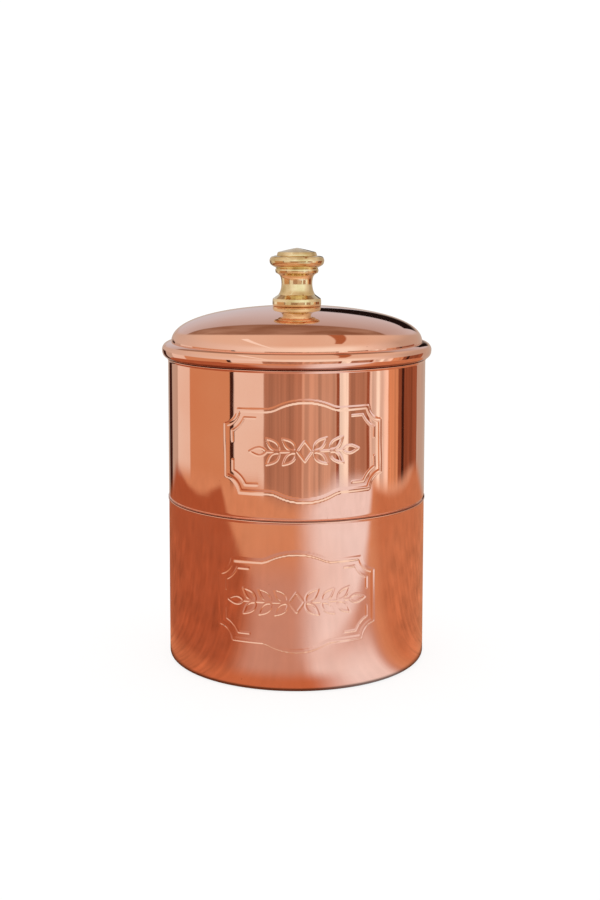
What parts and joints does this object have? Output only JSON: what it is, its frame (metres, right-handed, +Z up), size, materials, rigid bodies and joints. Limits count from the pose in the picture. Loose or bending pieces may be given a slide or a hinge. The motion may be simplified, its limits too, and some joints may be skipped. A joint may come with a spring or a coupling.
{
  "type": "stacking canister set",
  "caption": "Round polished copper canisters that stack, with embossed label panels, a domed lid with a rolled rim and a turned brass knob.",
  "frame": {"origin": "centre of the footprint, on the surface the set stands on", "axes": "+Z up along the common axis of the canisters and lid; -Y towards the label panels; +X to the right seen from the front"},
  "size_m": [0.0994, 0.0994, 0.1512],
  "materials": {
    "copper_lower": "mirror-polished copper outside, tinned inside, fine lines round the wall",
    "copper_base": "polished copper underneath, tinned inside",
    "copper_upper": "mirror-polished copper outside, tinned inside, fine lines round the wall",
    "copper_pan": "satin copper underneath, tinned inside",
    "copper_lid": "mirror-polished copper outside, tinned inside, fine turning lines",
    "copper_rim": "mirror-polished copper, fine turning lines",
    "copper_collar": "satin copper",
    "knob_brass": "polished yellow brass",
    "silicone": "translucent white silicone, satin",
    "zinc_steel": "zinc-plated steel"
  },
  "bodies": {
    "lower_canister": {"lower_wall": "copper_lower", "lower_base": "copper_base"},
    "upper_canister": {"upper_wall": "copper_upper", "upper_base": "copper_pan", "upper_seal": "silicone"},
    "lid": {"lid_cover": "copper_lid", "lid_rim": "copper_rim", "lid_collar": "copper_collar", "lid_seal": "silicone", "knob": "knob_brass", "knob_washer": "zinc_steel", "knob_lock_washer": "zinc_steel", "knob_screw": "zinc_steel"}
  },
  "joints": [
    {"name": "upper_lift", "type": "slide", "parent": "lower_canister", "child": "upper_canister", "axis": [0, 0, 1], "range_m": [0, 0.07]},
    {"name": "lid_lift", "type": "slide", "parent": "upper_canister", "child": "lid", "axis": [0, 0, 1], "range_m": [0, 0.06]}
  ]
}
